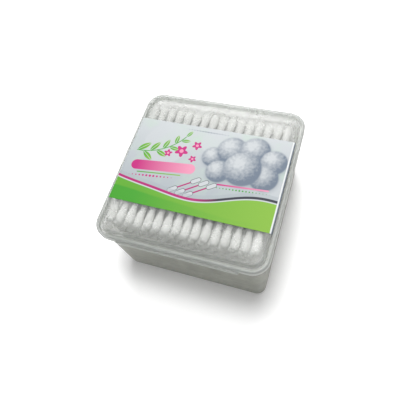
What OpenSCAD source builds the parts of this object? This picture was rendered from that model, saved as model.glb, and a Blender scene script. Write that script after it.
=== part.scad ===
// Hinged box of cotton swabs: a drafted base with a collar and a flange, a shallow lid on a
// living hinge, a paper label across the lid, and two hundred swabs in staggered rows.
// X runs across the swabs, Y along them, and Z up. The hinge is at the back, at +Y.

/* [Swabs] */
// Length of a swab from tip to tip
swab_l = 75; // [60:0.5:90]
// Diameter of the stick
stick_dia = 2.4; // [1.8:0.1:3]
// Largest diameter of a cotton bud
bud_dia = 4.66; // [3.8:0.02:5.6]
// Length of a cotton bud
bud_l = 16; // [11:0.5:22]
// Cotton between the end of the stick and the tip of the bud
bud_tip = 1.6; // [1:0.1:3]
// Thickness of the cotton where the bud ends on the stick
bud_end_t = 0.12; // [0.06:0.02:0.3]
// Play of the stick in the bud
stick_play = 0.03; // [0.01:0.01:0.1]

/* [Rows] */
// Side gap between two swabs of one row
swab_gap = 0.54; // [0.2:0.02:1.2]
// Gap between touching rows
row_gap = 0.02; // [0.01:0.01:0.2]
// How far each row leans to the left of the row below
row_lean = 0.05; // [0:0.01:0.08]
// How far the swabs slide endways out of line
endways_slip = 0.3; // [0:0.05:0.6]

/* [Room in the box] */
// Free width beside the widest row, each side
side_room = 0.25; // [0.2:0.05:3]
// Free length past the tips, each end
end_room = 4.6; // [4.4:0.1:12]
// Free height over the top row
top_room = 0.3; // [0.2:0.05:3]

/* [Base] */
// Thickness of the base's walls
wall = 1.1; // [0.8:0.05:2]
// Thickness of the floor
floor_t = 1.1; // [0.8:0.05:2.5]
// Inside corner radius at the floor
corner_r = 4.2; // [4:0.1:12]
// How far each wall leans out from floor to flange
taper = 1.5; // [0.5:0.1:4]
// Radius round the bottom edge
bottom_r = 1.6; // [0.5:0.1:1.8]
// Width of the ring that the box stands on
foot_w = 3; // [1.5:0.1:3.4]
// Height of the ring that the box stands on
foot_h = 0.4; // [0.2:0.05:0.8]
// Thickness of the flange
flange_t = 1.1; // [0.8:0.05:2]
// How far the collar stands out past the wall below it
collar_out = 0.75; // [0.4:0.05:1]

/* [Lid] */
// Thickness of the panel and of the ledge round it
lid_t = 1.2; // [0.9:0.05:1.6]
// Thickness of the skirt
skirt_t = 1.25; // [0.9:0.05:2]
// Height of the skirt, from its lower edge to the ledge
skirt_h = 3.8; // [3.2:0.1:9]
// Height of the panel over the ledge
panel_h = 2.7; // [2.4:0.1:3.4]
// Free width between the top row and the panel's wall
panel_room = 0.75; // [0.3:0.05:1.2]
// Radius of the panel's edge
panel_r = 1.2; // [0.5:0.1:1.4]
// Radius of the skirt's upper edge
skirt_r = 0.8; // [0.4:0.1:1.4]
// Radius where the panel's wall meets the ledge
root_r = 0.5; // [0.2:0.1:0.6]
// Gap between the skirt and the collar
fit_gap = 0.3; // [0.2:0.05:0.6]
// Gap between the collar and the ledge
seat_gap = 0.4; // [0.3:0.05:1]
// Width of the thumb lip
lip_w = 66; // [16:1:72]
// How far the thumb lip stands out
lip_out = 1; // [0.7:0.1:3]
// Height of the thumb lip
lip_h = 1.3; // [0.8:0.1:2.4]
// Radius of the thumb lip's upper edge
lip_r = 0.5; // [0.2:0.05:0.6]
// Diameter of a stacking stud
stud_dia = 3.4; // [2:0.1:5]
// Height of a stacking stud
stud_h = 0.5; // [0.2:0.05:1]

/* [Hinge] */
// Length of one hinge strap
strap_l = 22; // [10:1:30]
// Distance between the middles of the two straps
strap_pitch = 44; // [36:1:52]
// Thickness of a strap
strap_t = 0.4; // [0.25:0.05:0.5]
// How far the hinge line stands behind the skirt
strap_out = 1; // [0.7:0.1:3]

/* [Label] */
// Depth of the label, front to back
label_d = 52.6; // [30:0.2:64]
// Thickness of the paper with its glue
label_t = 0.2; // [0.1:0.02:0.4]
// Bare wall between the label's lower edge and the rounded root of the ledge
label_lift = 0.2; // [0.1:0.05:0.6]
// Gap between the paper and the lid
label_gap = 0.02; // [0.01:0.01:0.1]

/* [Hidden] */
$fn = 48;

// The pile: the box is sized for the swabs in it
rows = 13;
widest_row = 16;
swab_pitch = bud_dia + swab_gap;
row_rise = sqrt(pow(bud_dia + row_gap, 2) - pow(swab_pitch / 2 - row_lean, 2));
pile_half_w = (widest_row * swab_pitch - swab_gap) / 2;
golden_turn = 137.508;

// Heights
floor_z = foot_h + floor_t;
first_row_z = floor_z + row_gap + bud_dia / 2;
lid_in_z = first_row_z + (rows - 1) * row_rise + bud_dia / 2 + top_room;
top_z = lid_in_z + lid_t;
ledge_z = top_z - panel_h;
parting_z = ledge_z - skirt_h;
flange_z = parting_z - flange_t;
collar_z = ledge_z - lid_t - seat_gap;

// Centres of the four rounded corners; every section below is measured out from them
core_x = pile_half_w + side_room - corner_r;
core_y = swab_l / 2 + end_room - corner_r;

// Distances out from a corner centre
base_top_out = corner_r + taper + wall;
collar_edge = base_top_out + collar_out;
skirt_edge = collar_edge + fit_gap + skirt_t;
panel_edge = corner_r - side_room + row_lean * (rows - 1) + panel_room + lid_t;
taper_per_mm = taper / (flange_z - floor_z);

// Places on the outside
back_y = core_y + skirt_edge;
hinge_y = back_y + strap_out;
label_low_z = ledge_z + root_r + label_lift;

// Shape of a bud: share of its largest radius by share of its length, from the tip to the waist
BUD_SHAPE = [[0.42, 0], [0.78, 0.04], [0.96, 0.12], [1, 0.24], [0.93, 0.4], [0.64, 0.68]];

// Overlap that keeps cuts and joins clean
eps = 0.01;

// Inside of the base's wall at a height, measured out from a corner centre
function wall_in(z) = corner_r + taper_per_mm * (z - floor_z);
// Wide rows and narrow rows take turns, and the first row leaves out its two outer swabs
function places_in(row) = (rows - row) % 2 == 0 ? widest_row : widest_row - 1;
function left_out(row) = row == 1 ? 1 : 0;
function swab_x(row, i) = (i - (places_in(row) - 1) / 2) * swab_pitch - row_lean * (row - 1);
function swab_z(row) = first_row_z + (row - 1) * row_rise;
function swab_slip(row, i) = endways_slip * sin(golden_turn * (i + rows * row));

// Carries a wall section, drawn as distance out by height, round the four corners and sides
module carry_round() {
    for (turn = [0, 1, 2, 3]) {
        across = turn % 2 == 0 ? core_x : core_y;
        along = turn % 2 == 0 ? core_y : core_x;
        rotate([0, 0, 90 * turn]) {
            translate([across, along, 0])
                rotate_extrude(angle = 90) children();
            translate([across, along, 0])
                rotate([90, 0, 0])
                    linear_extrude(2 * along) children();
        }
    }
}

// A flat plate between the corner centres, which closes a floor or a panel
module middle_plate(z, t) {
    translate([-core_x, -core_y, z])
        cube([2 * core_x, 2 * core_y, t]);
}

// A block from the corner centre outwards, with its upper outer edge rounded
module rounded_block(out, low, high, r) {
    translate([0, low]) square([out, high - low - r]);
    translate([0, low]) square([out - r, high - low]);
    translate([out - r, high - r])
        intersection() {
            circle(r);
            square(r);
        }
}

// Outside of the base's wall, drafted, with a rounded bottom edge
module base_outline() {
    lean = atan(taper_per_mm);
    foot_out = wall_in(0) + wall + bottom_r * (taper_per_mm - 1 / cos(lean));
    polygon([
        [0, 0],
        [foot_out, 0],
        [foot_out + bottom_r * cos(lean), bottom_r - bottom_r * sin(lean)],
        [base_top_out, flange_z],
        [0, flange_z]
    ]);
    translate([foot_out, bottom_r]) circle(bottom_r);
}

module base_section() {
    collar_in = collar_edge - wall;
    foot_in = wall_in(0) + wall - bottom_r - foot_w;
    difference() {
        union() {
            base_outline();
            translate([0, flange_z]) square([skirt_edge - flange_t / 2, flange_t]);
            translate([skirt_edge - flange_t / 2, flange_z + flange_t / 2]) circle(flange_t / 2);
            translate([0, parting_z - eps]) square([collar_edge, collar_z - wall / 2 - parting_z + eps]);
            translate([collar_edge - wall / 2, collar_z - wall / 2]) circle(wall / 2);
        }
        polygon([
            [-eps, floor_z],
            [corner_r, floor_z],
            [wall_in(flange_z), flange_z],
            [collar_in, parting_z],
            [collar_in, collar_z + wall],
            [-eps, collar_z + wall]
        ]);
        translate([-eps, -eps]) square([foot_in + eps, foot_h + eps]);
    }
}

module lid_section() {
    difference() {
        union() {
            rounded_block(panel_edge, parting_z, top_z, panel_r);
            rounded_block(skirt_edge, parting_z, ledge_z, skirt_r);
            difference() {
                translate([panel_edge - eps, ledge_z - eps]) square(root_r + eps);
                translate([panel_edge + root_r, ledge_z + root_r]) circle(root_r);
            }
        }
        translate([-eps, parting_z - eps]) square([panel_edge - lid_t + eps, lid_in_z - parting_z + eps]);
        translate([-eps, parting_z - eps])
            square([skirt_edge - skirt_t + eps, ledge_z - lid_t - parting_z + eps]);
    }
}

// One leaf of the living hinge: two straps with a rounded outer edge that ends on the hinge line
module hinge_leaf() {
    inner_y = back_y - skirt_t / 2;
    for (side = [-1, 1])
        translate([side * strap_pitch / 2, 0, parting_z])
            rotate([90, 0, 90])
                linear_extrude(strap_l, center = true) {
                    translate([inner_y, 0]) square([hinge_y - strap_t - inner_y, strap_t]);
                    intersection() {
                        translate([hinge_y - strap_t, 0]) circle(strap_t);
                        translate([hinge_y - strap_t, 0]) square(strap_t);
                    }
                }
}

// A straight lip with rounded ends along the foot of the skirt, for the thumb
module thumb_lip() {
    run = lip_w / 2 - lip_out;
    translate([0, -back_y, parting_z]) {
        rotate([90, 0, -90])
            linear_extrude(2 * run, center = true) {
                rounded_block(lip_out, 0, lip_h, lip_r);
                translate([-skirt_t / 2, 0]) square([skirt_t / 2 + eps, lip_h]);
            }
        for (side = [-1, 1])
            translate([side * run, 0, 0])
                rotate([0, 0, side > 0 ? -90 : 180])
                    rotate_extrude(angle = 90) rounded_block(lip_out, 0, lip_h, lip_r);
    }
}

module stacking_studs() {
    ball_r = (pow(stud_dia / 2, 2) + pow(stud_h, 2)) / (2 * stud_h);
    for (x = [-1, 1], y = [-1, 1])
        translate([
            x * core_x,
            y * core_y,
            top_z
        ])
            intersection() {
                translate([0, 0, stud_h - ball_r]) sphere(ball_r);
                translate([-stud_dia, -stud_dia, -lid_t / 2])
                    cube([2 * stud_dia, 2 * stud_dia, lid_t / 2 + stud_h]);
            }
}

// Section across the panel, from a height up to its top, grown by a margin
module panel_outline(low, grow) {
    for (side = [0, 1])
        mirror([side, 0])
            rounded_block(core_x + panel_edge + grow, low, top_z + grow, panel_r + grow);
}

// Bud along Z with its tip at the origin, bored for the stick
module bud() {
    bore_r = stick_dia / 2 + stick_play;
    rotate_extrude()
        polygon([
            [0, 0],
            for (point = BUD_SHAPE) [point[0] * bud_dia / 2, point[1] * bud_l],
            [bore_r + bud_end_t, bud_l],
            [bore_r, bud_l],
            [bore_r, bud_tip],
            [0, bud_tip]
        ]);
}

module stick() {
    rotate([90, 0, 0])
        cylinder(h = swab_l - 2 * (bud_tip + stick_play), d = stick_dia, center = true);
}

module sticks_row(row) {
    color("#f4f2ec")
        for (i = [left_out(row) : places_in(row) - 1 - left_out(row)])
            translate([swab_x(row, i), swab_slip(row, i), swab_z(row)]) stick();
}

module cotton_row(row) {
    color("#fbfaf6")
        for (i = [left_out(row) : places_in(row) - 1 - left_out(row)])
            translate([swab_x(row, i), swab_slip(row, i), swab_z(row)])
                for (end = [0, 1])
                    mirror([0, end, 0])
                        translate([0, -swab_l / 2, 0])
                            rotate([-90, 0, 0]) bud();
}

module base() {
    color("#b9c0bf") {
        carry_round() base_section();
        middle_plate(foot_h, floor_t);
        translate([0, 0, 2 * parting_z]) mirror([0, 0, 1]) hinge_leaf();
    }
}

module lid() {
    color("#d3d9d8") {
        carry_round() lid_section();
        middle_plate(lid_in_z, lid_t);
        hinge_leaf();
        thumb_lip();
        stacking_studs();
    }
}

module label() {
    color("#dfe8ee")
        rotate([90, 0, 0])
            linear_extrude(label_d, center = true)
                difference() {
                    panel_outline(label_low_z, label_gap + label_t);
                    panel_outline(label_low_z - eps, label_gap);
                }
}

base();
lid();
label();
sticks_row(1);  // sticks_row_01
sticks_row(2);  // sticks_row_02
sticks_row(3);  // sticks_row_03
sticks_row(4);  // sticks_row_04
sticks_row(5);  // sticks_row_05
sticks_row(6);  // sticks_row_06
sticks_row(7);  // sticks_row_07
sticks_row(8);  // sticks_row_08
sticks_row(9);  // sticks_row_09
sticks_row(10);  // sticks_row_10
sticks_row(11);  // sticks_row_11
sticks_row(12);  // sticks_row_12
sticks_row(13);  // sticks_row_13
cotton_row(1);  // cotton_row_01
cotton_row(2);  // cotton_row_02
cotton_row(3);  // cotton_row_03
cotton_row(4);  // cotton_row_04
cotton_row(5);  // cotton_row_05
cotton_row(6);  // cotton_row_06
cotton_row(7);  // cotton_row_07
cotton_row(8);  // cotton_row_08
cotton_row(9);  // cotton_row_09
cotton_row(10);  // cotton_row_10
cotton_row(11);  // cotton_row_11
cotton_row(12);  // cotton_row_12
cotton_row(13);  // cotton_row_13
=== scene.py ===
"""A hinged box of cotton swabs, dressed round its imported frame.

The frame gives the places. Here the two mouldings get smooth walls and true edges, the label its
paper and print, and the swabs their wound cotton.
"""

import math
import random
from types import SimpleNamespace

import bmesh
import bpy
from bpy.props import FloatProperty, FloatVectorProperty, IntProperty, PointerProperty
from mathutils import Matrix, Vector, noise


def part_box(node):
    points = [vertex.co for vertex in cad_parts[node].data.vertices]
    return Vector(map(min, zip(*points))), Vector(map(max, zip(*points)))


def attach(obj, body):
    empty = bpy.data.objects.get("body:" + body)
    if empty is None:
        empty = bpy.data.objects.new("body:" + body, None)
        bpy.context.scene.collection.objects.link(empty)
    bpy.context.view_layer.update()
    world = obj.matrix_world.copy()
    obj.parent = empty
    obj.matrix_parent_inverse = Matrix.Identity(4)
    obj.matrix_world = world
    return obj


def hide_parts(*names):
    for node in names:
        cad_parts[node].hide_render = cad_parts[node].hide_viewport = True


bl_info = {
    "name": "Cotton swab box",
    "version": (1, 0, 0),
    "blender": (4, 5, 0),
    "location": "3D View > Sidebar > Swab box",
    "description": "Builds a hinged box of cotton swabs with its label and studio",
    "category": "Object",
}

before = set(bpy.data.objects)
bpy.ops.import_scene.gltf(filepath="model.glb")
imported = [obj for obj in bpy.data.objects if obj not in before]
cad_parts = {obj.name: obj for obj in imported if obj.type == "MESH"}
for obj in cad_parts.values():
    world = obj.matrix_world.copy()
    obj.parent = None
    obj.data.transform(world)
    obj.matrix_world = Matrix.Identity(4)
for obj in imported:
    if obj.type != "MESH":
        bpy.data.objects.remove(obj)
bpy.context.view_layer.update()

MM = 0.001
_, BASE_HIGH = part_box("base")
LID_LOW, LID_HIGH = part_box("lid")
LABEL_LOW, LABEL_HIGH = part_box("label")
COTTON_ROWS = sorted(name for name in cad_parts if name.startswith("cotton_row"))
STICK_ROWS = sorted(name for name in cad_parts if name.startswith("sticks_row"))

# Gap between the panel and the label, and how far the label's face stands off the panel
PAPER_GAP = 0.02 * MM
LABEL_STAND = 0.22 * MM
# Turn between two swabs' endways slips, in degrees
GOLDEN_TURN = 137.508
# How strongly the base and the lid bend and mirror light
BASE_IOR, LID_IOR = 1.5, 2.0
# Where the mouldings' corner centres lie, in millimetres
CORNER_X, CORNER_Y = 37.4, 37.9


def length(name, description, value):
    """A size in metres, given in millimetres."""
    return FloatProperty(
        name=name, description=description, default=value * MM, min=0, unit="LENGTH", precision=5
    )


def colour(name, description, value):
    """A linear colour."""
    return FloatVectorProperty(
        name=name, description=description, default=value, size=3, min=0, max=1, subtype="COLOR"
    )


def factor(name, description, value):
    """A share from none to all."""
    return FloatProperty(
        name=name, description=description, default=value, min=0, max=1, subtype="FACTOR"
    )


def number(name, description, value, unit="NONE"):
    """A number in the given unit."""
    return FloatProperty(name=name, description=description, default=value, min=0, unit=unit)


class SwabBoxMouldings(bpy.types.PropertyGroup):
    """Sizes of the two plastic mouldings."""

    corner_r: length("Floor corner", "Inside corner radius of the base at its floor", 4.2)
    wall: length("Wall", "Thickness of the base's walls", 1.1)
    floor_t: length("Floor", "Thickness of the floor", 1.1)
    taper: length("Taper", "How far each wall leans out from floor to flange", 1.5)
    bottom_r: length("Bottom edge", "Radius round the bottom edge", 1.6)
    foot_w: length("Foot width", "Width of the ring that the box stands on", 3)
    foot_h: length("Foot height", "Height of the ring that the box stands on", 0.4)
    flange_t: length("Flange", "Thickness of the flange", 1.1)
    collar_out: length("Collar step", "How far the collar stands out past the wall", 0.75)
    fit_gap: length("Fit gap", "Gap between the skirt and the collar", 0.3)
    lid_t: length("Lid", "Thickness of the lid's panel", 1.2)
    skirt_t: length("Skirt", "Thickness of the skirt", 1.25)
    panel_h: length("Panel height", "Height of the panel over the ledge", 2.7)
    panel_r: length("Panel edge", "Radius of the panel's edge", 1.2)
    skirt_r: length("Skirt edge", "Radius of the skirt's upper edge", 0.8)
    root_r: length("Ledge root", "Radius where the panel's wall meets the ledge", 0.5)
    soft_r: length("Soft edge", "Radius of the small edges", 0.18)
    lip_w: length("Lip width", "Width of the thumb lip", 66)
    lip_out: length("Lip reach", "How far the thumb lip stands out", 1)
    lip_h: length("Lip height", "Height of the thumb lip", 1.3)
    lip_r: length("Lip edge", "Radius of the thumb lip's upper edge", 0.5)
    stud_dia: length("Stud", "Diameter of a stacking stud", 3.4)
    stud_h: length("Stud height", "Height of a stacking stud", 0.5)
    strap_l: length("Strap length", "Length of one hinge strap", 22)
    strap_pitch: length("Strap pitch", "Distance between the middles of the straps", 44)
    strap_t: length("Strap thickness", "Thickness of a hinge strap", 0.4)
    strap_out: length("Strap reach", "How far the hinge line stands behind the skirt", 1)
    plastic: colour("Plastic", "Body colour of the base", (0.39, 0.40, 0.345))
    clear: colour("Clear plastic", "Haze colour of the lid", (0.61, 0.64, 0.61))
    base_haze: factor("Base haze", "Opacity of one base surface", 0.3)
    lid_haze: factor("Lid haze", "Opacity of one lid surface", 0.132)
    base_rough: factor("Base roughness", "Roughness of the base", 0.42)
    lid_rough: factor("Lid roughness", "Roughness of the lid", 0.26)


class SwabBoxSwabs(bpy.types.PropertyGroup):
    """Sizes and colours of the swabs."""

    swab_l: length("Swab length", "Length of a swab from tip to tip", 75)
    stick_dia: length("Stick", "Diameter of the stick", 2.4)
    bud_dia: length("Bud", "Largest diameter of a bud", 4.66)
    bud_l: length("Bud length", "Length of a bud", 16)
    bud_tip: length("Bud tip", "Cotton past the end of the stick", 1.6)
    swab_gap: length("Side gap", "Side gap between two swabs of one row", 0.54)
    slip: length("Endways slip", "How far the swabs slide endways out of line", 0.3)
    fluff: length("Fluff", "Depth of the cotton's uneven surface", 0.13)
    crown: factor("Crown", "Place of the widest ring", 0.24)
    shoulder: factor("Shoulder", "Share that tapers", 0.56)
    waist: factor("Waist", "Thinness where the bud ends", 0.58)
    near_rows: IntProperty(name="Near rows", description="Rows that are modelled finely", default=2)
    cotton: colour("Cotton", "Colour of the cotton", (0.92, 0.92, 0.90))
    paper: colour("Stick paper", "Colour of the sticks", (0.84, 0.83, 0.79))


class SwabBoxLabel(bpy.types.PropertyGroup):
    """Sizes and colours of the label."""

    paper_t: length("Paper", "Thickness of the paper with its glue", 0.2)
    lift: length("Buckle", "Height of the paper's faint buckles", 0.05)
    ground: colour("Ground", "Pale ground of the print", (0.38, 0.425, 0.46))
    white: colour("White", "Highlights of the print", (0.57, 0.60, 0.62))
    bare: colour("Bare paper", "Bare paper at the edge", (0.86, 0.88, 0.88))
    wash: colour("Wash", "Faint green clouds in the ground", (0.50, 0.66, 0.52))
    field: colour("Field", "Deep end of the green field", (0.05, 0.33, 0.018))
    field_end: colour("Field end", "Light end of the green field", (0.22, 0.455, 0.032))
    line: colour("Line", "Line along the green field", (0.42, 0.015, 0.16))
    bar: colour("Bar", "Deep end of the round bars", (0.52, 0.012, 0.19))
    bar_end: colour("Bar end", "Light end of the round bars", (0.80, 0.30, 0.45))
    puff: colour("Puff", "Shaded side of the printed cotton balls", (0.14, 0.18, 0.24))
    dark: colour("Dark ink", "Dark strokes of the print", (0.012, 0.015, 0.03))


class SwabBoxStage(bpy.types.PropertyGroup):
    """Camera and studio."""

    lens: number("Lens", "Focal length in millimetres", 38.59, "CAMERA")
    floor_size: length("Floor", "Side of the floor", 4000)
    # Glow for the eye on the floor, weak beside the box and stronger away from it: a painted fade at
    # the shadow's edge
    shadow_glow: factor("Shadow glow", "White added for the eye beside the box", 0.03)
    floor_glow: factor("Floor glow", "White added for the eye away from the box", 0.34)
    key_power: number("Key", "Power of the key lamp in watts", 3.9, "POWER")
    back_power: number("Back light", "Power of the rear lamp in watts", 4.2, "POWER")
    world_light: number("World", "Strength of the world's light", 0.44)


# Mesh helpers


def start_clean():
    """Deselects everything, so that an operator acts on the new primitive alone."""
    if bpy.context.object and bpy.context.object.mode != "OBJECT":
        bpy.ops.object.mode_set(mode="OBJECT")
    bpy.ops.object.select_all(action="DESELECT")


def pick(piece):
    """Makes one piece the only selected and active one."""
    start_clean()
    piece.select_set(True)
    bpy.context.view_layer.objects.active = piece


def settle(piece):
    """Puts the piece's place, turn and size into its mesh."""
    pick(piece)
    bpy.ops.object.transform_apply(location=True, rotation=True, scale=True)
    return piece


def smooth(piece, degrees=32):
    """Smooth shading, with creases kept past an angle."""
    pick(piece)
    bpy.ops.object.shade_smooth_by_angle(angle=math.radians(degrees))
    return piece


def select_edges(piece, wanted):
    """Selects the edges of a piece in edit mode for which a test holds."""
    bpy.ops.mesh.select_mode(type="EDGE")
    bpy.ops.mesh.select_all(action="DESELECT")
    shape = bmesh.from_edit_mesh(piece.data)
    for edge in shape.edges:
        edge.select = wanted(edge)
    bmesh.update_edit_mesh(piece.data)


def arc(centre, radius, start, end, steps):
    """Points on an arc, given by its centre, radius and angles in degrees."""
    turns = [math.radians(start + (end - start) * k / steps) for k in range(steps + 1)]
    return [
        (centre[0] + radius * math.cos(turn), centre[1] + radius * math.sin(turn))
        for turn in turns
    ]


def add_chain(name, points):
    """A row of joined points in the plane y = 0, opened between its last and first point."""
    start_clean()
    bpy.ops.mesh.primitive_circle_add(vertices=len(points), fill_type="NOTHING")
    piece = bpy.context.object
    piece.name = name
    for vertex, (out, height) in zip(piece.data.vertices, points):
        vertex.co = (out, 0, height)
    bpy.ops.object.mode_set(mode="EDIT")
    ends = {0, len(points) - 1}
    select_edges(piece, lambda edge: {vertex.index for vertex in edge.verts} == ends)
    bpy.ops.mesh.delete(type="EDGE")
    bpy.ops.mesh.select_mode(type="VERT")
    bpy.ops.mesh.select_all(action="SELECT")
    return piece


def close_up(piece):
    """Merges what meets, fills what is open, and turns the faces outwards."""
    bpy.ops.mesh.select_all(action="SELECT")
    bpy.ops.mesh.remove_doubles(threshold=0.001 * MM)
    bpy.ops.mesh.fill_holes(sides=0)
    bpy.ops.mesh.select_all(action="SELECT")
    bpy.ops.mesh.normals_make_consistent(inside=False)
    bpy.ops.object.mode_set(mode="OBJECT")
    return piece


def sweep_round(name, section, corners, steps):
    """Carries a section round the four corners and sides of the box."""
    piece = add_chain(name, section)
    bpy.ops.transform.translate(value=corners[0])
    for k, corner in enumerate(corners):
        bpy.ops.mesh.spin(steps=steps, angle=-math.pi / 2, center=corner, axis=(0, 0, 1))
        step = corners[(k + 1) % 4] - corner
        bpy.ops.mesh.extrude_region_move(TRANSFORM_OT_translate={"value": step})
    return close_up(piece)


def unite(piece, parts):
    """Grows other closed solids into a moulding, and checks that the result is closed."""
    for part in parts:
        pick(piece)
        bpy.ops.object.modifier_add(type="BOOLEAN")
        joint = piece.modifiers[-1]
        joint.operation = "UNION"
        joint.solver = "EXACT"
        joint.object = part
        bpy.ops.object.modifier_apply(modifier=joint.name)
        bpy.data.objects.remove(part)
    sliver = 0.004 * MM
    pick(piece)
    bpy.ops.object.mode_set(mode="EDIT")
    bpy.ops.mesh.select_all(action="SELECT")
    bpy.ops.mesh.remove_doubles(threshold=sliver)
    bpy.ops.mesh.dissolve_degenerate(threshold=sliver)
    bpy.ops.mesh.select_mode(type="EDGE")
    bpy.ops.mesh.select_non_manifold(extend=False)
    open_edges = sum(edge.select for edge in bmesh.from_edit_mesh(piece.data).edges)
    bpy.ops.object.mode_set(mode="OBJECT")
    if open_edges:
        raise RuntimeError(f"{piece.name} has {open_edges} open edges")
    return piece


def finish_piece(piece, body, node, material):
    """Gives a finished piece its material and its body, and hides the node that it stands for."""
    piece.data.materials.clear()
    piece.data.materials.append(material)
    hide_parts(node)
    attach(piece, body)


# Shader helpers


class Flow:
    """A number, colour or vector that runs through a shader tree; sums with it add nodes there."""

    def __init__(self, socket):
        self.socket = socket
        self.tree = socket.id_data

    def __add__(self, other):
        return sums("ADD", self, other)

    def __sub__(self, other):
        return sums("SUBTRACT", self, other)

    def __rsub__(self, other):
        return sums("SUBTRACT", other, self)

    def __mul__(self, other):
        return sums("MULTIPLY", self, other)

    def __truediv__(self, other):
        return sums("DIVIDE", self, other)

    def __abs__(self):
        return sums("ABSOLUTE", self)


def set_sockets(node, values):
    """Links the flows among the values to a node's sockets, and sets the constants on them."""
    for key, value in values.items():
        socket = node.inputs[key]
        if isinstance(value, Flow):
            node.id_data.links.new(value.socket, socket)
        elif socket.type == "RGBA":
            socket.default_value = (*value, 1)
        else:
            socket.default_value = value


def place(tree, kind, values=(), **settings):
    """Adds a shader node with its settings, and values for its sockets by name or number."""
    node = tree.nodes.new(kind)
    for key, value in settings.items():
        setattr(node, key, value)
    set_sockets(node, dict(values))
    return node


def flow(kind, values, output=0, **settings):
    """Adds a node to the tree of the flows among its values; gives one of its outputs."""
    tree = next(value.tree for value in values.values() if isinstance(value, Flow))
    return Flow(place(tree, kind, values, **settings).outputs[output])


def sums(operation, *values):
    """One step of arithmetic."""
    return flow("ShaderNodeMath", dict(enumerate(values)), operation=operation)


def vectors(operation, first, second):
    """One step of arithmetic with vectors; scaling takes a number as the second value."""
    key = "Scale" if operation == "SCALE" else 1
    return flow("ShaderNodeVectorMath", {0: first, key: second}, operation=operation)


def split(vector):
    """The three parts of a vector."""
    return [Flow(part) for part in place(vector.tree, "ShaderNodeSeparateXYZ", {0: vector}).outputs]


def distance(first, second):
    """Length of a flat step."""
    return sums("SQRT", second * second + first * first)


def mixed(share, first, second):
    """A mix of two colours."""
    return flow("ShaderNodeMix", {0: share, 6: first, 7: second}, output=2, data_type="RGBA")


def ranged(value, low, high, start=0.0, end=1.0, **settings):
    """A value carried from the range between start and end to the one between low and high."""
    return flow("ShaderNodeMapRange", {0: value, 1: start, 2: end, 3: low, 4: high}, **settings)


def edge_mask(inside, soft=0.12):
    """Mask with a soft edge where a distance inside an outline passes zero."""
    return ranged(inside, 0, 1, soft * -1.0, soft, interpolation_type="SMOOTHSTEP")


def speckle(vector, scale, detail=3.0, roughness=0.5):
    """Noise on a vector."""
    values = {"Vector": vector, "Scale": scale, "Detail": detail, "Roughness": roughness}
    return flow("ShaderNodeTexNoise", values, "Fac")


def shaded(tone, share):
    """A colour made darker or lighter."""
    return tuple(min(1, part * share) for part in tone)


def bump(shader, height, strength, depth):
    """Feeds a height into the shader's normal."""
    values = {"Height": height, "Strength": strength, "Distance": depth}
    set_sockets(shader, {"Normal": flow("ShaderNodeBump", values)})


def new_material(name):
    """A material with its own surface shader; gives both, and the place in millimetres."""
    material = bpy.data.materials.new(name)
    material.use_nodes = True
    spot = Flow(place(material.node_tree, "ShaderNodeTexCoord").outputs["Object"])
    return material, material.node_tree.nodes["Principled BSDF"], vectors("SCALE", spot, 1 / MM)


def socket_label(name):
    """The words on a group's socket."""
    return name.replace("_", " ").capitalize()


def build_group(name, outputs, inputs, shape):
    """A shader group that takes a place and numbers, and gives what the shape works out."""
    tree = bpy.data.node_groups.new(name, "ShaderNodeTree")
    new_socket = tree.interface.new_socket
    new_socket(name="Place", in_out="INPUT", socket_type="NodeSocketVector")
    for key, value in inputs.items():
        socket = new_socket(name=socket_label(key), in_out="INPUT", socket_type="NodeSocketFloat")
        socket.default_value = value
    for key in outputs:
        new_socket(name=socket_label(key), in_out="OUTPUT", socket_type="NodeSocketFloat")
    given = tree.nodes.new("NodeGroupInput").outputs
    numbers = {key: Flow(given[socket_label(key)]) for key in inputs}
    results = shape(Flow(given["Place"]), **numbers)
    set_sockets(tree.nodes.new("NodeGroupOutput"), dict(enumerate(results)))
    return tree


def effect(name, outputs, **inputs):
    """Makes a function the content of a shader group: built once, and placed by each call."""

    def wrap(shape):
        def use(spot, **values):
            group = bpy.data.node_groups.get(name) or build_group(name, outputs, inputs, shape)
            values = {socket_label(key): value for key, value in values.items()}
            node = place(spot.tree, "ShaderNodeGroup", {"Place": spot, **values}, node_tree=group)
            return SimpleNamespace(**{key: Flow(node.outputs[socket_label(key)]) for key in outputs})

        return use

    return wrap


# Shared effects, on a place in millimetres


@effect("Moulded surface", ("height", "cloud", "drawn"), wave=0.6, grain=0.25)
def moulded_surface(spot, wave, grain):
    """Uneven wall and fine spark grain of a moulded surface, a broad cloud and drawn streaks."""
    height = speckle(spot, 4.0, 2) * grain + speckle(spot, 0.09, 2) * wave
    drawn = speckle(vectors("MULTIPLY", spot, (0.14, 0.14, 0.4)), 1.0, 6, 0.75)
    return height, speckle(spot, 0.09, 3), drawn


@effect("Wound fibre", ("height", "streak"), scale=1.0, stretch=4.0)
def wound_fibre(spot, scale, stretch):
    """Fibres that run round the swab's length."""
    thin = vectors("MULTIPLY", spot, flow("ShaderNodeCombineXYZ", {0: 1.0, 1: stretch, 2: 1.0}))
    strands = speckle(vectors("SCALE", thin, scale), 1.0, 5, 0.62)
    return speckle(spot, 0.7, 2) * 0.8 + strands, strands


@effect("Ring distance", ("out",), half_x=CORNER_X, half_y=CORNER_Y)
def ring_distance(spot, half_x, half_y):
    """How far out from the line of corner centres a place lies."""
    x, y, _ = split(spot)
    past = [sums("MAXIMUM", abs(part) - half, 0.0) for part, half in ((x, half_x), (y, half_y))]
    return (distance(*past),)


@effect("Wave line", ("below",), height=0.0, swing=3.0, pace=0.06, shift=0.0, ripple=1.0)
def wave_line(spot, height, swing, pace, shift, ripple):
    """How far a place lies below a wave that runs across the label."""
    x, y, _ = split(spot)
    turn = x * pace + shift
    crest = sums("SINE", turn) * swing + height
    return (sums("SINE", turn * 2.1) * ripple + crest - y,)


# Where a printed mark lies and how it is turned
MARK = {"x": 0.0, "y": 0.0, "turn": 0.0}


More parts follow.
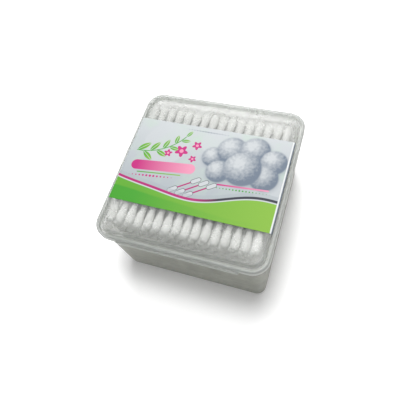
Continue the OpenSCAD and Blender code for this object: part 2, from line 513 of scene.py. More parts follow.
def seen_from(spot, x, y, turn):
    """A place seen from a mark's own middle and direction: how far across, and how far up."""
    moved = vectors("SUBTRACT", spot, flow("ShaderNodeCombineXYZ", {0: x, 1: y}))
    values = {"Vector": moved, "Angle": turn}
    turned = flow("ShaderNodeVectorRotate", values, rotation_type="Z_AXIS", invert=True)
    return split(turned)[:2]


@effect("Round bar", ("mask", "along", "dome"), **MARK, half=0.0, radius=1.0, soft=0.12)
def round_bar(spot, x, y, turn, half, radius, soft):
    """A bar with round ends: its mask, how far along it a place lies, and how near its middle."""
    across, up = seen_from(spot, x, y, turn)
    away = distance(sums("MAXIMUM", abs(across) - half, 0.0), up)
    along = across / sums("MAXIMUM", half, 0.001) * 0.5 + 0.5
    return edge_mask(radius - away, soft), along, 1.0 - away / radius


@effect("Leaf", ("mask", "along", "vein"), **MARK, half=4.0, width=1.5)
def pointed_leaf(spot, x, y, turn, half, width):
    """A pointed leaf: its mask, how far along it a place lies, and its middle vein."""
    across, up = seen_from(spot, x, y, turn)
    along = across / half
    mask = edge_mask((1.0 - along * along) * width - abs(up))
    return mask, along * 0.5 + 0.5, edge_mask(0.14 - abs(up), 0.1) * mask


@effect("Bloom", ("mask", "middle"), **MARK, radius=3.0, petals=5.0)
def bloom(spot, x, y, turn, radius, petals):
    """A flat flower with round petals: its mask, and how near its middle a place lies."""
    across, up = seen_from(spot, x, y, turn)
    petal = sums("COSINE", sums("ARCTAN2", up, across) * petals) * 0.22 + 0.78
    away = distance(across, up)
    return edge_mask(petal * radius - away), 1.0 - away / radius


@effect("Row of dots", ("mask",), **MARK, half=10.0, radius=0.5, pitch=2.0)
def dot_row(spot, x, y, turn, half, radius, pitch):
    """Mask of a row of dots that shrink towards both ends."""
    across, up = seen_from(spot, x, y, turn)
    reach = pitch * 0.5
    outward = abs(across) / half
    size = (outward * -0.6 + 1.0) * radius
    inside = size - distance(sums("WRAP", across, reach, pitch * -0.5), up)
    return (edge_mask(sums("MINIMUM", inside, 1.0 - outward), 0.1),)


# Materials

# Shares of the plastic's own tone, haze and roughness at the two ends of its unevenness
TONE_SWING, HAZE_SWING, ROUGH_SWING = (0.82, 1.2), (0.84, 1.16), (0.8, 1.3)


def plastic_material(name, tone, haze, rough, ior, zones=()):
    """Translucent moulded plastic with a faint cloud, streaks, wave and grain.

    It is milkier at a slant and in its zones. Each zone has where it starts and ends out from the
    corner centres and its lowest height, in millimetres, the haze that it adds, and its shade: the
    share of the tone painted there, where a share under one is painted shade.
    """
    material, shader, spot = new_material(name)
    surface = moulded_surface(spot, wave=0.7, grain=0.1)
    uneven = surface.drawn * 2.0 + surface.cloud
    body = mixed(ranged(uneven, 0, 1, 1.0, 2.0), *(shaded(tone, share) for share in TONE_SWING))
    grain = ranged(surface.cloud, *(rough * share for share in ROUGH_SWING))
    cloudy = ranged(uneven, *(haze * share for share in HAZE_SWING), 1.0, 2.0)
    out = ring_distance(spot).out
    height = split(spot)[2]
    for start, end, foot, more, shade in zones:
        inside = ranged(out, 0, 1, start, end) * ranged(height, 0, 1, foot, foot + 0.2)
        cloudy = inside * more + cloudy
        # Painted shade: a zone's share under one darkens the tone there
        body = mixed(inside, body, shaded(tone, shade))
        grain = inside * (more * 0.5) + grain
    facing = Flow(place(spot.tree, "ShaderNodeLayerWeight", {"Blend": 0.5}).outputs["Facing"])
    slant = sums("DIVIDE", 1.0, sums("MAXIMUM", 1.0 - facing, 0.3))
    values = {
        "Base Color": body,
        "Roughness": grain,
        "Alpha": 1.0 - sums("POWER", 1.0 - cloudy, slant),
        "IOR": ior,
        "Subsurface Weight": 1.0,
        "Subsurface Radius": (1.0, 1.0, 0.96),
        "Subsurface Scale": 2 * MM,
    }
    set_sockets(shader, values)
    bump(shader, surface.height, 0.35, 0.12 * MM)
    return material


def cotton_material(tone):
    """Wound cotton wool."""
    material, shader, spot = new_material("Cotton wool")
    fibre = wound_fibre(spot, scale=2.2, stretch=3.0)
    values = {
        "Base Color": mixed(ranged(fibre.streak, 0, 1, 0.3, 0.5), shaded(tone, 0.87), tone),
        "Roughness": 0.95,
        "Sheen Weight": 0.35,
        "Sheen Roughness": 0.5,
        "Specular IOR Level": 0.15,
    }
    set_sockets(shader, values)
    bump(shader, fibre.height, 0.8, 0.35 * MM)
    return material


def stick_material(tone):
    """Tightly rolled paper with a faint spiral seam."""
    material, shader, spot = new_material("Rolled paper")
    fibre = wound_fibre(spot, scale=1.5, stretch=0.25)
    body = mixed(ranged(fibre.streak, 0, 1, 0.3, 0.7), shaded(tone, 0.9), tone)
    set_sockets(shader, {"Base Color": body, "Roughness": 0.6})
    bump(shader, fibre.height, 0.25, 0.05 * MM)
    return material


# The print, in millimetres from the middle of the label, with turns in degrees
LABEL_INKS = [key for key in SwabBoxLabel.__annotations__ if key not in ("paper_t", "lift")]
# Bare margin at the right, and a dark line of painted shade along the right fold, in millimetres in
# from the edge
RIGHT_MARGIN = 1.2
PAINTED_FOLD_SHADE = 0.45
# Soft light discs, cotton balls and flowers: x, y and radius
DISCS = ((-24, 12, 13), (3, 18, 8), (38, -5, 8))
PUFFS = ((4, 9, 6), (13, 15, 8), (25, 17, 8), (36, 12, 7), (33, 2, 7.5), (9, 1, 6.5), (21, 5, 10))
BLOOMS = ((-14, 9, 3.8), (-6.5, 14, 2.8), (-21, 6.4, 2.4), (-6.6, 5.4, 2.2))
# The stem is an arc, and its leaves spread from it by an angle in radians
SPRIG_CENTRE, SPRIG_RADIUS, SPRIG_START, SPRIG_END = (-38, 33), 28, -92, -32
LEAVES, LEAF_HALF, LEAF_SPREAD = 8, 4.4, 0.75
# Rows of dots: x, y, half length, radius, pitch, turn and ink
DOTS = (
    (-26, -9.3, 12, 0.7, 2.0, 6, "bar"),
    (23, -7.6, 15, 0.5, 1.7, 4, "field"),
    (-3, 23.6, 12, 0.45, 1.6, 0, "puff"),
)
# Round bars: x, y, half length, radius, turn and ink
BARS = (
    (-21, -2.4, 15, 3.0, 6, "bar"),
    (-22, -6.9, 12, 0.3, 6, "field"),
    (24, -5.6, 13, 0.45, 4, "bar"),
)
# Small swabs: x, y and turn, with their half length
SWAB_MARKS = ((-6, -10.5, 34), (-1.5, -11.2, 34), (3, -11.9, 34))
SWAB_MARK_REACH = 6.5
FIELD_WAVE = {"height": -15.0, "swing": 4.0, "pace": 0.062, "shift": -1.1, "ripple": 0.8}
SWEEP_WAVE = {"height": -21.0, "swing": -2.6, "pace": 0.055, "shift": 0.6, "ripple": 0.5}


def add_bar(spot, under, ink, strength=1.0, **values):
    """Prints one round bar over a colour; ink is a colour or a pair that runs along the bar."""
    bar = round_bar(spot, **values)
    if isinstance(ink[0], tuple):
        ink = mixed(bar.along, *ink)
    return mixed(bar.mask * strength, under, ink)


def add_puff(spot, under, x, y, radius, light, dark):
    """Prints one soft cotton ball with its shadow, lit from its upper left."""
    under = add_bar(spot, under, dark, 0.45, x=x + 0.5, y=y - 0.8, radius=radius, soft=2.2)
    ball = round_bar(spot, x=x, y=y, radius=radius, soft=0.6)
    lit = round_bar(spot, x=x - 0.3 * radius, y=y + 0.35 * radius, radius=radius * 1.35)
    share = speckle(spot, 0.6, 4) * 0.7 + lit.dome
    return mixed(ball.mask, under, mixed(ranged(share, 0, 1, 0.5, 1.2), dark, light))


def add_swab(spot, under, x, y, turn, inks):
    """Prints one small swab: a stick and two outlined buds."""
    stick, outline, cotton = inks
    reach = SWAB_MARK_REACH
    under = add_bar(spot, under, stick, x=x, y=y, half=reach, radius=0.4, turn=turn)
    for end in (-reach, reach):
        middle = {"x": x + end * math.cos(turn), "y": y + end * math.sin(turn)}
        for ink, radius in ((outline, 1.35), (cotton, 1.1)):
            under = add_bar(spot, under, ink, **middle, half=1.6, radius=radius, turn=turn)
    return under


def add_sprig(spot, under, greens, vein):
    """Prints a curved stem with leaves that take turns at its sides."""
    knots = arc(SPRIG_CENTRE, SPRIG_RADIUS, SPRIG_START, SPRIG_END, LEAVES)
    for (x0, y0), (x1, y1) in zip(knots, knots[1:]):
        middle = {"x": (x0 + x1) / 2, "y": (y0 + y1) / 2}
        turn, half = math.atan2(y1 - y0, x1 - x0), math.hypot(x1 - x0, y1 - y0) / 2
        under = add_bar(spot, under, greens[0], **middle, turn=turn, half=half, radius=0.26)
    for k, (x, y) in enumerate(knots):
        side = (-1) ** k if k < LEAVES else 0
        heading = SPRIG_START + (SPRIG_END - SPRIG_START) * k / LEAVES + 90
        turn = math.radians(heading) + side * LEAF_SPREAD
        half = LEAF_HALF * (1 - 0.4 * k / LEAVES)
        middle = {"x": x + half * math.cos(turn), "y": y + half * math.sin(turn)}
        leaf = pointed_leaf(spot, **middle, turn=turn, half=half, width=half * 0.36)
        under = mixed(leaf.mask, under, mixed(leaf.along, *greens))
        under = mixed(leaf.vein, under, vein)
    return under


def add_bloom(spot, under, x, y, radius, petal, middle):
    """Prints one flower with a pale middle."""
    flower = bloom(spot, x=x, y=y, turn=x, radius=radius)
    heart = edge_mask(flower.middle - 0.7, 0.05)
    return mixed(heart, mixed(flower.mask, under, petal), middle)


def add_field(spot, under, x, ink, greens):
    """Prints the green field with its two tones, and the veil, stroke and white line over it."""
    wave = wave_line(spot, **FIELD_WAVE).below
    sweep = wave_line(spot, **SWEEP_WAVE).below
    green = mixed(ranged(x, 0, 1, -30, 40), *greens)
    green = mixed(edge_mask(sweep, 0.6), mixed(0.35, green, ink["field_end"]), green)
    stroke = mixed(ranged(x, 0, 1, 2, 14), ink["line"], ink["dark"])
    veil = mixed(0.55, under, ink["ground"])
    for rise, layer in ((4.2, veil), (2.1, stroke), (0.7, ink["white"]), (0.0, green)):
        under = mixed(edge_mask(wave + rise), under, layer)
    return under


def add_bare_paper(spot, under, x, ink):
    """Leaves a bare margin and painted fold shade at the right, and plain paper on the inner face."""
    # The fold's dark line in the puff ink is painted shade
    for inset, name in ((RIGHT_MARGIN, "bare"), (PAINTED_FOLD_SHADE, "puff")):
        past = x - (LABEL_HIGH.x / MM - inset)
        under = mixed(edge_mask(past, 0.08), under, ink[name])
    facing = split(Flow(place(spot.tree, "ShaderNodeTexCoord").outputs["Normal"]))
    inward = facing[0] * sums("SIGN", x)
    inner = sums("LESS_THAN", sums("MINIMUM", facing[2], inward), -0.5)
    return mixed(inner, under, ink["bare"])


def label_material(settings):
    """Coated paper with a plain print: a green field, a sprig, cotton balls and swabs."""
    material, shader, spot = new_material("Printed paper")
    ink = {name: tuple(getattr(settings, name)) for name in LABEL_INKS}
    greens = (ink["field"], ink["field_end"])
    x, y, _ = split(spot)
    tone = mixed(ranged(y, 0, 1, -24, 26), ink["ground"], ink["white"])
    tone = mixed(ranged(speckle(spot, 0.09, 4), 0, 0.55, 0.45, 0.75), tone, ink["wash"])
    for left, up, radius in DISCS:
        tone = add_bar(spot, tone, ink["white"], 0.6, x=left, y=up, radius=radius, soft=0.8)
    for puff in PUFFS:
        tone = add_puff(spot, tone, *puff, ink["white"], ink["puff"])
    tone = add_sprig(spot, tone, greens, ink["white"])
    for flower in BLOOMS:
        tone = add_bloom(spot, tone, *flower, ink["bar"], ink["bar_end"])
    for *values, turn, name in DOTS:
        values = dict(zip(("x", "y", "half", "radius", "pitch"), values))
        tone = mixed(dot_row(spot, **values, turn=math.radians(turn)).mask, tone, ink[name])
    for *values, turn, name in BARS:
        values = dict(zip(("x", "y", "half", "radius"), values))
        pair = (ink[name], ink[name + "_end"])
        tone = add_bar(spot, tone, pair, **values, turn=math.radians(turn))
    for *middle, turn in SWAB_MARKS:
        inks = (ink["line"], ink["dark"], ink["white"])
        tone = add_swab(spot, tone, *middle, math.radians(turn), inks)
    tone = add_field(spot, tone, x, ink, greens)
    values = {
        "Base Color": add_bare_paper(spot, tone, x, ink),
        "Roughness": 0.5,
        "Specular IOR Level": 0.3,
        "Coat Weight": 0.05,
        "Coat Roughness": 0.2,
    }
    set_sockets(shader, values)
    bump(shader, speckle(spot, 0.8, 3), 0.12, 0.05 * MM)
    return material


def seen_directly(tree):
    """One for what the eye sees, in gloss and through plastic too, and zero for light."""
    rays = place(tree, "ShaderNodeLightPath").outputs
    seen = sums("MAXIMUM", Flow(rays["Is Camera Ray"]), Flow(rays["Is Transmission Ray"]))
    return sums("MAXIMUM", seen, Flow(rays["Is Glossy Ray"]))


def floor_material(settings):
    """White floor with the object's shadow, a painted fade at its edge, and pure white further out."""
    material, shader, spot = new_material("Studio floor")
    seen = seen_directly(spot.tree)
    out = ring_distance(spot).out
    glows = (settings.shadow_glow, settings.floor_glow)
    # Painted shadow fade: the glow is weak beside the box and grows outwards, so the floor stays
    # darker near it
    near = ranged(out, *glows, *SHADOW_REACH, interpolation_type="SMOOTHSTEP")
    values = {
        "Base Color": mixed(seen, (0.86, 0.86, 0.86), (1, 1, 1)),
        "Roughness": 0.9,
        "Specular IOR Level": 0.1,
        "Emission Color": seen * (near + ranged(out, 0, 1, *WHITE_REACH)),
        "Emission Strength": 1.0,
    }
    set_sockets(shader, values)
    return material


def world_backdrop(settings):
    """A white backdrop for the camera, with a plain light of its own strength."""
    world = bpy.context.scene.world or bpy.data.worlds.new("Studio")
    bpy.context.scene.world = world
    world.use_nodes = True
    tree = world.node_tree
    tree.nodes.clear()
    light, white = [
        Flow(place(tree, "ShaderNodeBackground", {0: (1, 1, 1), 1: strength}).outputs[0])
        for strength in (settings.world_light, 1.0)
    ]
    mix = flow("ShaderNodeMixShader", {0: seen_directly(tree), 1: light, 2: white})
    place(tree, "ShaderNodeOutputWorld", {0: mix})


# Sections of the mouldings, as distance out from a corner centre by height


def shell_places(sizes):
    """The corner centres, heights and distances out that both mouldings share."""
    skirt = sizes.corner_r + sizes.taper + sizes.wall + sizes.collar_out + sizes.fit_gap
    skirt += sizes.skirt_t
    top = LID_HIGH.z - sizes.stud_h
    x, y = LID_HIGH.x - skirt, LID_HIGH.y - sizes.strap_out - skirt
    return SimpleNamespace(
        corners=[Vector((x, y, 0)), Vector((-x, y, 0)), Vector((-x, -y, 0)), Vector((x, -y, 0))],
        core_y=y,
        skirt=skirt,
        panel=LABEL_HIGH.x - LABEL_STAND - x,
        top=top,
        ledge=top - sizes.panel_h,
        parting=LID_LOW.z,
        flange=LID_LOW.z - sizes.flange_t,
        floor=sizes.foot_h + sizes.floor_t,
    )


def lid_section(sizes, at):
    """The lid's wall, from the top of the panel out, down and back under it."""
    soft = sizes.soft_r
    lid_in = at.top - sizes.lid_t
    under = at.ledge - sizes.lid_t
    skirt_in = at.skirt - sizes.skirt_t
    panel_in = at.panel - sizes.lid_t
    return [
        (0, at.top),
        *arc((at.panel - sizes.panel_r, at.top - sizes.panel_r), sizes.panel_r, 90, 0, 6),
        *arc((at.panel + sizes.root_r, at.ledge + sizes.root_r), sizes.root_r, 180, 270, 4),
        *arc((at.skirt - sizes.skirt_r, at.ledge - sizes.skirt_r), sizes.skirt_r, 90, 0, 5),
        *arc((at.skirt - soft, at.parting + soft), soft, 0, -90, 3),
        *arc((skirt_in + soft, at.parting + soft), soft, 270, 180, 3),
        (skirt_in, under),
        (panel_in, under),
        *arc((panel_in - soft, lid_in - soft), soft, 0, 90, 2),
        (0, lid_in),
    ]


def base_section(sizes, at):
    """The base's wall, from under the floor out, up to the collar and back down to the floor."""
    soft = sizes.soft_r
    slope = sizes.taper / (at.flange - at.floor)
    lean = math.atan(slope)
    foot_wall = sizes.corner_r - slope * at.floor + sizes.wall
    foot_out = foot_wall + sizes.bottom_r * (slope - 1 / math.cos(lean))
    foot_in = foot_wall - sizes.bottom_r - sizes.foot_w
    wall_top = sizes.corner_r + sizes.taper
    collar = at.skirt - sizes.skirt_t - sizes.fit_gap
    edge = sizes.flange_t / 2
    half = sizes.wall / 2
    fillet = 3 * soft
    bottom_turn = -math.degrees(lean)
    return [
        (0, sizes.foot_h),
        (foot_in, sizes.foot_h),
        *arc((foot_in + soft, soft), soft, 180, 270, 3),
        *arc((foot_out, sizes.bottom_r), sizes.bottom_r, -90, bottom_turn, 7),
        *arc((wall_top + sizes.wall + soft, at.flange - soft), soft, 180, 90, 3),
        *arc((at.skirt - edge, at.flange + edge), edge, -90, 90, 8),
        *arc((collar + soft, at.parting + soft), soft, 270, 180, 2),
        *arc((collar - half, BASE_HIGH.z - half), half, 0, 180, 8),
        (collar - sizes.wall, at.parting),
        (wall_top, at.flange),
        *arc((sizes.corner_r - fillet, at.floor + fillet), fillet, 0, -90, 4),
        (0, at.floor),
    ]


def hinge_straps(sizes, at, up):
    """Two straps with a rounded outer edge, over or under the parting plane."""
    hinge_y = LID_HIGH.y
    inset = 0.01 * MM
    near = hinge_y - sizes.strap_out - sizes.skirt_t / 2
    low = at.parting + inset if up else at.parting - sizes.strap_t
    high = at.parting + sizes.strap_t if up else at.parting - inset
    outer = Vector((0, hinge_y, high if up else low))
    straps = []
    for side in (-1, 1):
        start_clean()
        bpy.ops.mesh.primitive_cube_add(
            size=1,
            location=(side * sizes.strap_pitch / 2, (near + hinge_y) / 2, (low + high) / 2),
            scale=(sizes.strap_l, hinge_y - near, high - low),
        )
        strap = settle(bpy.context.object)
        strap.name = "strap"
        bpy.ops.object.mode_set(mode="EDIT")
        select_edges(strap, lambda edge: all((v.co - outer).yz.length < inset for v in edge.verts))
        bpy.ops.mesh.bevel(offset=sizes.strap_t * 0.9, segments=5, affect="EDGES")
        bpy.ops.object.mode_set(mode="OBJECT")
        straps.append(strap)
    return straps


def thumb_lip(sizes, at):
    """A straight lip with rounded ends along the foot of the skirt."""
    sink = 0.05 * MM
    root = sink - (at.core_y + at.skirt)
    reach = sizes.lip_out + sink
    run = sizes.lip_w / 2 - sizes.lip_out
    foot = at.parting + 0.02 * MM
    top = at.parting + sizes.lip_h
    soft = sizes.soft_r
    edge = [
        (0, top),
        *arc((reach - sizes.lip_r, top - sizes.lip_r), sizes.lip_r, 90, 0, 5),
        *arc((reach - soft, foot + soft), soft, 0, -90, 3),
        (0, foot),
    ]
    lip = add_chain("lip", edge)
    bpy.ops.transform.translate(value=(run, root, 0))
    bpy.ops.mesh.spin(steps=10, angle=math.pi / 2, center=(run, root, 0), axis=(0, 0, 1))
    bpy.ops.mesh.extrude_region_move(TRANSFORM_OT_translate={"value": (-2 * run, 0, 0)})
    bpy.ops.mesh.spin(steps=10, angle=math.pi / 2, center=(-run, root, 0), axis=(0, 0, 1))
    return close_up(lip)


def stacking_studs(sizes, at):
    """Four low domes at the corner centres of the panel."""
    ball_r = ((sizes.stud_dia / 2) ** 2 + sizes.stud_h**2) / (2 * sizes.stud_h)
    sink = sizes.lid_t / 6
    middle = at.top + sizes.stud_h - ball_r
    end = math.degrees(math.asin((at.top - sink - middle) / ball_r))
    dome = arc((0, middle), ball_r, 90, end, 8)
    dome = [(0, dome[0][1]), *dome[1:], (0, dome[-1][1])]
    studs = []
    for corner in sorted(at.corners, key=tuple):
        stud = add_chain("stud", dome)
        bpy.ops.mesh.spin(steps=40, angle=2 * math.pi, center=(0, 0, 0), axis=(0, 0, 1))
        bpy.ops.mesh.select_all(action="SELECT")
        bpy.ops.transform.translate(value=corner)
        studs.append(close_up(stud))
    return studs


# Swabs


def bud_profile(swabs, rings):
    """The bud's outline from tip to stick, as radius by distance, with its rings closer at the tip."""
    points = []
    for k in range(rings + 1):
        share = (k / rings) ** 1.35
        if share < swabs.crown:
            radius = (1 - (1 - share / swabs.crown) ** 3) ** (1 / 3)
        else:
            down = min(1, (share - swabs.crown) / swabs.shoulder)
            radius = swabs.waist + (1 - swabs.waist) * (1 + math.cos(math.pi * down)) / 2
        points.append((radius * swabs.bud_dia / 2, share * swabs.bud_l))
    return points


def add_bud(swabs, rings, steps):
    """One bud along +Y with its tip at the origin, turned from its outline."""
    outline = bud_profile(swabs, rings)
    outline += [(swabs.stick_dia / 2, swabs.bud_l * 1.004), (0, swabs.bud_l * 0.98)]
    bud = add_chain("bud", outline)
    for vertex in bmesh.from_edit_mesh(bud.data).verts:
        vertex.co = (vertex.co.x, vertex.co.z, 0)
    bpy.ops.mesh.spin(steps=steps, angle=2 * math.pi, center=(0, 0, 0), axis=(0, 1, 0))
    return close_up(bud)


def fluff_up(mesh, depth, seed):
    """Gives a bud its own uneven cotton surface, from broad lumps and finer ones."""
    offset = Vector((seed * 3.7, seed * 1.3, seed * 2.9))
    for vertex in mesh.vertices:
        spot = vertex.co / MM
        axis = Vector((vertex.co.x, 0, vertex.co.z))
        out = axis.normalized() if axis.length > 0.05 * MM else Vector((0, -1, 0))
        swell = noise.noise(spot * 0.35 + offset) * 1.6
        swell += noise.noise(Vector((spot.x, spot.y * 1.8, spot.z)) * 1.1 + offset) * 0.9
        vertex.co += out * swell * depth


def row_places(node, swabs, row):
    """Where each swab of a row lies: x and height as in the frame, and its endways slip."""
    low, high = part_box(node)
    pitch = swabs.bud_dia + swabs.swab_gap
    count = round((high.x - low.x - swabs.bud_dia) / pitch) + 1
    first = 1 if row == 1 else 0
    for i in range(count):
        turn = GOLDEN_TURN * (i + first + len(COTTON_ROWS) * row)
        slip = swabs.slip * math.sin(math.radians(turn))
        yield low.x + swabs.bud_dia / 2 + i * pitch, slip, (low.z + high.z) / 2


def lay_copies(name, source, places, fluff=0):
    """Joins copies of one mesh, each put in place by a matrix and fluffed by a seed."""
    copies = []
    for matrix, seed in places:
        mesh = source.data.copy()
        if fluff:
            fluff_up(mesh, fluff, seed)
        mesh.transform(matrix)
        copy = bpy.data.objects.new(name, mesh)
        bpy.context.scene.collection.objects.link(copy)
        copies.append(copy)
    pick(copies[0])
    for copy in copies:
        copy.select_set(True)
    bpy.ops.object.join()
    return copies[0]


class SWABBOX_OT_base(bpy.types.Operator):
    """Build the base: floor, drafted walls, flange, collar and its hinge straps"""

    bl_idname = "swabbox.base"
    bl_label = "Base"

    def execute(self, context):
        sizes = context.scene.swab_box_mouldings
        at = shell_places(sizes)
        base = sweep_round("base_shell", base_section(sizes, at), at.corners, steps=10)
        smooth(unite(base, hinge_straps(sizes, at, up=False)))
        finish = (sizes.plastic, sizes.base_haze, sizes.base_rough, BASE_IOR)
        plastic = plastic_material("Frosted plastic", *finish)
        finish_piece(base, "box", "base", plastic)
        return {"FINISHED"}


class SWABBOX_OT_lid(bpy.types.Operator):
    """Build the lid: panel, ledge, skirt, thumb lip, stacking studs and its hinge straps"""

    bl_idname = "swabbox.lid"
    bl_label = "Lid"

    def execute(self, context):
        sizes = context.scene.swab_box_mouldings
        at = shell_places(sizes)
        lid = sweep_round("lid_shell", lid_section(sizes, at), at.corners, steps=12)
        parts = hinge_straps(sizes, at, up=True) + [thumb_lip(sizes, at)]
        smooth(unite(lid, parts + stacking_studs(sizes, at)))
        skirt_out, ledge, top = at.skirt / MM, at.ledge / MM, at.top / MM
        skirt_in = skirt_out - sizes.skirt_t / MM
        panel_in = (at.panel - sizes.lid_t) / MM
        # Ledge, skirt, rim and studs. The darker tone on the skirt's inner ring and on the top of the
        # rim is painted shade along the rim's edges; the studs are milkier, which also stands in for
        # their glint as a painted highlight.
        zones = (
            (panel_in - 0.4, panel_in + 0.2, 0, 0.05, 1.05),
            (skirt_in - 0.4, skirt_in, 0, 0.3, 0.8),
            (skirt_out - 0.8, skirt_out - 0.2, ledge - 0.9, 0.1, 0.66),
            (-1, -0.5, top + 0.05, 0.16, 1.0),
        )
        finish = (sizes.clear, sizes.lid_haze, sizes.lid_rough, LID_IOR)
        clear = plastic_material("Clear plastic", *finish, zones)
        finish_piece(lid, "lid", "lid", clear)
        return {"FINISHED"}


class SWABBOX_OT_label(bpy.types.Operator):
    """Build the paper label that lies over the lid and turns down at both sides"""

    bl_idname = "swabbox.label"
    bl_label = "Label"

    def execute(self, context):
        settings = context.scene.swab_box_label
        radius = context.scene.swab_box_mouldings.panel_r + PAPER_GAP
        top = LABEL_HIGH.z - settings.paper_t
        flat = LABEL_HIGH.x - settings.paper_t - radius
        turn = radius * math.pi / 2
        reach = flat + turn + (top - radius - LABEL_LOW.z)
        calm = 4 * MM
        start_clean()
        bpy.ops.mesh.primitive_grid_add(x_subdivisions=260, y_subdivisions=60, size=2)
        label = bpy.context.object
        label.name = "label_paper"
        for vertex in label.data.vertices:
            along = abs(vertex.co.x * reach)
            side = math.copysign(1, vertex.co.x)
            buckle = noise.noise(Vector((vertex.co.x * 4, vertex.co.y * 3, 1.7)))
            lift = settings.lift * max(0, buckle) * min(1, max(0, flat - along) / calm)
            angle = min(max(0, along - flat) / radius, math.pi / 2)
            x = min(along, flat) + radius * math.sin(angle)
            z = top - radius + radius * math.cos(angle) - max(0, along - flat - turn)
            vertex.co = (side * x, vertex.co.y * LABEL_HIGH.y, z + lift)
        pick(label)
        bpy.ops.object.modifier_add(type="SOLIDIFY")
        sheet = label.modifiers[-1]
        sheet.thickness = settings.paper_t * 0.9
        sheet.offset = 1
        bpy.ops.object.modifier_apply(modifier=sheet.name)
        smooth(label, 50)
        finish_piece(label, "lid", "label", label_material(settings))
        return {"FINISHED"}


class SWABBOX_OT_cotton(bpy.types.Operator):
    """Build the cotton buds, row by row"""

    bl_idname = "swabbox.cotton"
    bl_label = "Cotton buds"

    def execute(self, context):
        swabs = context.scene.swab_box_swabs
        material = cotton_material(tuple(swabs.cotton))
        dice = random.Random(5)
        fine = smooth(add_bud(swabs, rings=26, steps=28), 60)
        plain = smooth(add_bud(swabs, rings=5, steps=8), 60)
        far_rows = len(COTTON_ROWS) - swabs.near_rows
        for row, node in enumerate(COTTON_ROWS, 1):
            source, fluff = (fine, swabs.fluff) if row > far_rows else (plain, 0)
            buds = []
            for x, slip, z in row_places(node, swabs, row):
                for end in (-1, 1):
                    turn = Matrix.Rotation(dice.uniform(0, 2 * math.pi), 4, "Y")
                    if end > 0:
                        turn = Matrix.Rotation(math.pi, 4, "Z") @ turn
                    spot = Matrix.Translation((x, slip + end * swabs.swab_l / 2, z))
                    buds.append((spot @ turn, dice.uniform(0, 50)))
            rows = lay_copies(node.replace("cotton", "buds"), source, buds, fluff)
            finish_piece(rows, "box", node, material)
        for source in (fine, plain):
            bpy.data.objects.remove(source)
        return {"FINISHED"}


class SWABBOX_OT_sticks(bpy.types.Operator):
    """Build the sticks, row by row"""

    bl_idname = "swabbox.sticks"
    bl_label = "Sticks"

    def execute(self, context):
        swabs = context.scene.swab_box_swabs
        material = stick_material(tuple(swabs.paper))
        start_clean()
        bpy.ops.mesh.primitive_cylinder_add(
            vertices=20,
            radius=swabs.stick_dia / 2,
            depth=swabs.swab_l - 2 * swabs.bud_tip,
            rotation=(math.pi / 2, 0, 0),
        )
        stick = smooth(settle(bpy.context.object), 40)
        for row, node in enumerate(STICK_ROWS, 1):
            places = row_places(node.replace("sticks", "cotton"), swabs, row)
            moves = [(Matrix.Translation(spot), 0) for spot in places]
            rows = lay_copies(node.replace("sticks", "rods"), stick, moves)
            finish_piece(rows, "box", node, material)
        bpy.data.objects.remove(stick)
        return {"FINISHED"}


# Lamps, in metres: name, place, size and the setting that holds the power
LAMPS = (
    ("key", (0.05, 0.15, 1.02), (0.40, 0.40), "key_power"),
    ("back light", (-0.14, 0.63, 0.75), (0.66, 0.34), "back_power"),
)
LAMP_AIM = Vector((0, 0, 0.02))
# Between which distances out the floor's glow grows from beside the box, a painted fade at the
# shadow's edge, and where its white grows, in millimetres
SHADOW_REACH = (4.0, 26.0)
WHITE_REACH = (50, 500)
# Camera, fitted to the photograph: place in millimetres and turn in degrees
CAMERA_SPOT = (64.65, -100.76, 246.22)
CAMERA_TURN = (26.81, 9.32, 17.72)


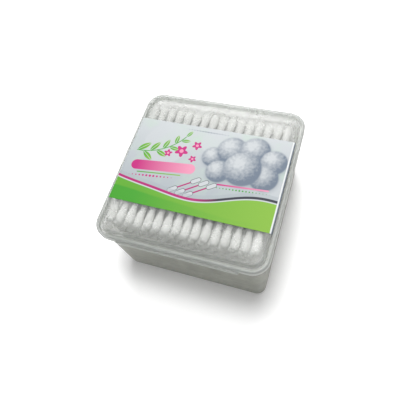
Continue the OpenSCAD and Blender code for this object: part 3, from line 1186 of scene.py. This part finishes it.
class SWABBOX_OT_stage(bpy.types.Operator):
    """Set the floor, the lamps, the world and the camera"""

    bl_idname = "swabbox.stage"
    bl_label = "Stage"

    def execute(self, context):
        settings = context.scene.swab_box_stage
        start_clean()
        bpy.ops.mesh.primitive_plane_add(size=settings.floor_size)
        floor = bpy.context.object
        floor.name = "floor"
        floor.data.materials.append(floor_material(settings))
        world_backdrop(settings)
        for name, spot, size, power in LAMPS:
            bpy.ops.object.light_add(type="AREA", location=spot)
            lamp = bpy.context.object
            lamp.name = name
            lamp.data.shape = "ELLIPSE"
            lamp.data.size, lamp.data.size_y = size
            lamp.data.energy = getattr(settings, power)
            lamp.rotation_euler = (LAMP_AIM - Vector(spot)).to_track_quat("-Z", "Y").to_euler()
        bpy.ops.object.camera_add()
        camera = bpy.context.object
        camera.name = "camera"
        camera.data.lens = settings.lens
        camera.location = Vector(CAMERA_SPOT) * MM
        camera.rotation_euler = [math.radians(turn) for turn in CAMERA_TURN]
        camera.data.clip_start = 0.01
        context.scene.camera = camera
        context.scene.view_settings.view_transform = "Standard"
        return {"FINISHED"}


class SWABBOX_PT_panel(bpy.types.Panel):
    """Lists the pieces of the swab box"""

    bl_label = "Swab box"
    bl_idname = "SWABBOX_PT_panel"
    bl_space_type = "VIEW_3D"
    bl_region_type = "UI"
    bl_category = "Swab box"

    def draw(self, context):
        for operator in OPERATORS:
            self.layout.operator(operator.bl_idname)
        for name in SETTINGS:
            settings = getattr(context.scene, name)
            for key in settings.__annotations__:
                self.layout.prop(settings, key)


OPERATORS = (
    SWABBOX_OT_stage,
    SWABBOX_OT_base,
    SWABBOX_OT_lid,
    SWABBOX_OT_label,
    SWABBOX_OT_cotton,
    SWABBOX_OT_sticks,
)
SETTINGS = {
    "swab_box_mouldings": SwabBoxMouldings,
    "swab_box_swabs": SwabBoxSwabs,
    "swab_box_label": SwabBoxLabel,
    "swab_box_stage": SwabBoxStage,
}
CLASSES = (*SETTINGS.values(), *OPERATORS, SWABBOX_PT_panel)


def register():
    """Registers the settings, the operators and the panel."""
    for item in CLASSES:
        bpy.utils.register_class(item)
    for name, group in SETTINGS.items():
        setattr(bpy.types.Scene, name, PointerProperty(type=group))


def unregister():
    """Takes everything out again."""
    for name in SETTINGS:
        delattr(bpy.types.Scene, name)
    for item in reversed(CLASSES):
        bpy.utils.unregister_class(item)


def main():
    """Builds the stage and every piece."""
    register()
    bpy.ops.swabbox.stage()
    bpy.ops.swabbox.base()
    bpy.ops.swabbox.lid()
    bpy.ops.swabbox.label()
    bpy.ops.swabbox.cotton()
    bpy.ops.swabbox.sticks()


if __name__ == "__main__":
    main()
